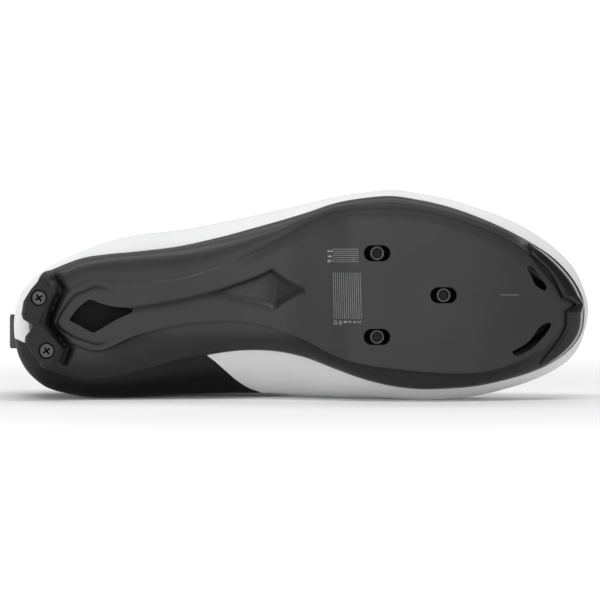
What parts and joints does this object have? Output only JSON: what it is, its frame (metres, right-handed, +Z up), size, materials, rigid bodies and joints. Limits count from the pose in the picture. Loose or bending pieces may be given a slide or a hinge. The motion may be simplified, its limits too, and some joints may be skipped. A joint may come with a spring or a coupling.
{
  "type": "cycling shoe",
  "caption": "Road cycling shoe for the right foot: stiff plate sole with bolt slots for a cleat, heel pad and toe bumper, smooth low-cut upper, strap closure, lying on its side.",
  "frame": {"origin": "centre of the bounding box at floor level, under the medial side that the shoe lies on", "axes": "+X from heel to toe, -Y the way the sole faces, +Y towards the collar, +Z up, towards the lateral side"},
  "size_m": [0.2868, 0.1092, 0.1042],
  "materials": {
    "carbon_plate": "satin",
    "gloss_bumper": "gloss",
    "heel_rubber": "matte",
    "screw_steel": "satin",
    "nut_steel": "satin",
    "white_microfibre": "satin",
    "black_microfibre": "satin",
    "tongue_cloth": "matte",
    "strap_microfibre": "satin",
    "insole_foam": "matte",
    "webbing": "matte"
  },
  "bodies": {
    "root": {"outsole": "carbon_plate", "toe_bumper": "gloss_bumper", "heel_pad": "heel_rubber", "heel_screw_lateral": "screw_steel", "heel_screw_medial": "screw_steel", "cleat_nut_lateral": "nut_steel", "cleat_nut_medial": "nut_steel", "cleat_nut_front": "nut_steel", "insole": "insole_foam", "upper": "white_microfibre", "tongue": "tongue_cloth", "strap_lower": "strap_microfibre", "strap_upper": "strap_microfibre", "pull_loop": "webbing"}
  },
  "joints": []
}
